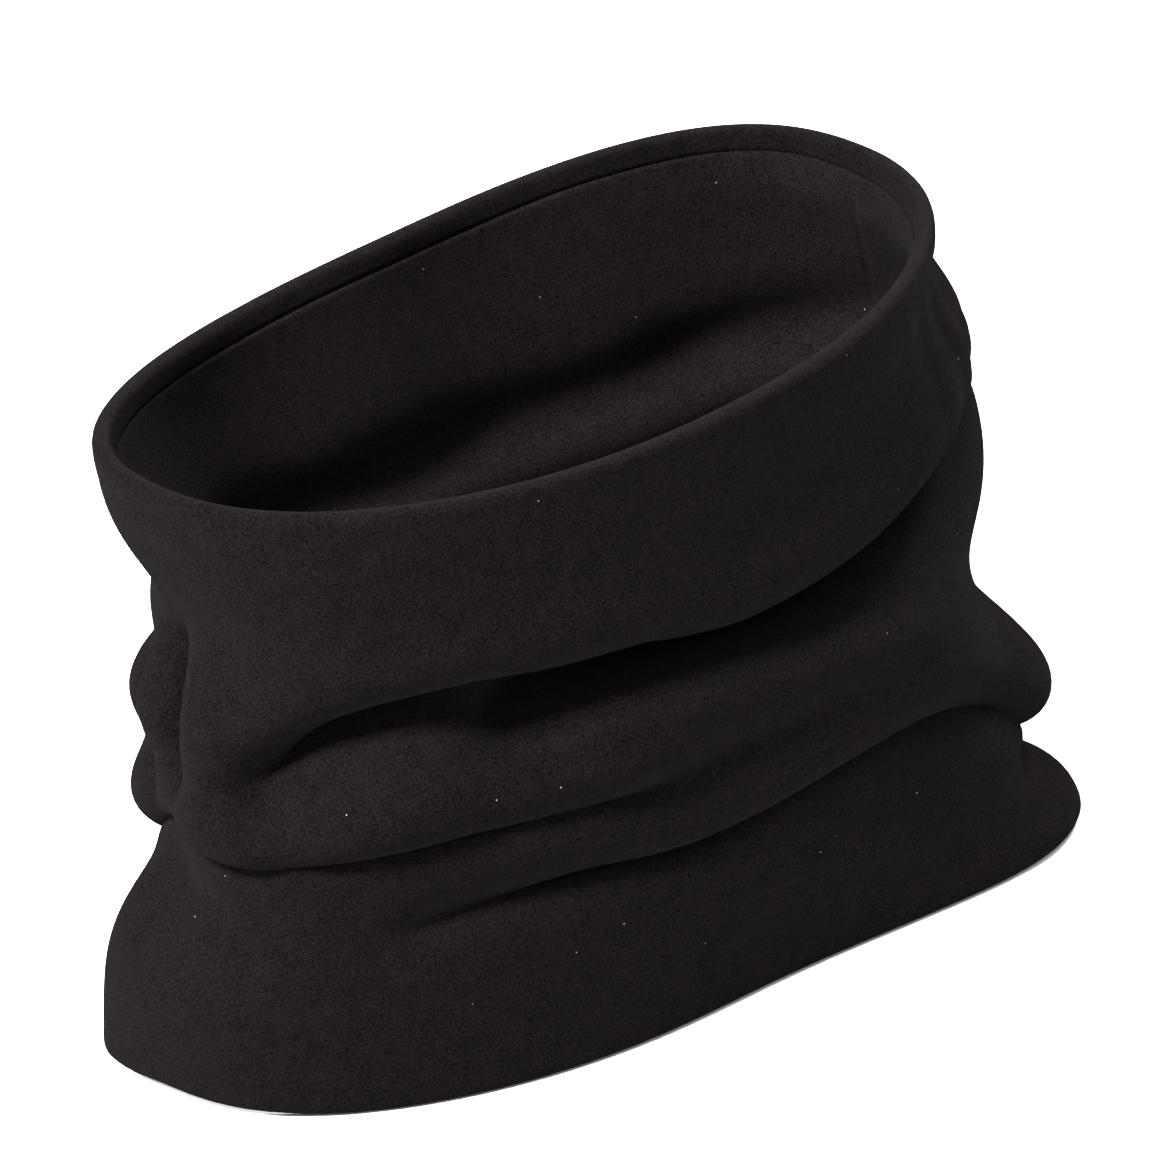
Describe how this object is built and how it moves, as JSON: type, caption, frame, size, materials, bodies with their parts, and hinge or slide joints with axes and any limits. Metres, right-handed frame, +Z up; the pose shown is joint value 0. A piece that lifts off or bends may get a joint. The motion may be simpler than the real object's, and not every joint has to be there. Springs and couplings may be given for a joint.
{
  "type": "neck gaiter",
  "caption": "Double-layer fleece neck gaiter, a seamed tube turned over at the rim and hem, standing slouched with two soft tucks",
  "frame": {"origin": "middle of the bounding box in plan, in the plane that the hem stands on", "axes": "+Z up from hem to rim, X along the long axis of the ovals, Y from front wall to back wall"},
  "size_m": [0.2498, 0.118, 0.15],
  "materials": {
    "shell_fleece": "brushed microfleece, near black",
    "lining_fleece": "brushed microfleece, near black",
    "thread": "spun polyester thread, near black",
    "label_satin": "woven satin, blank, near black"
  },
  "bodies": {
    "root": {"outer_shell": "shell_fleece", "inner_lining": "lining_fleece", "rim_seam_stitches": "thread", "hem_seam_stitches": "thread", "lining_side_stitches": "thread", "shell_side_stitches": "thread", "closing_stitches": "thread", "care_label": "label_satin"}
  },
  "joints": []
}
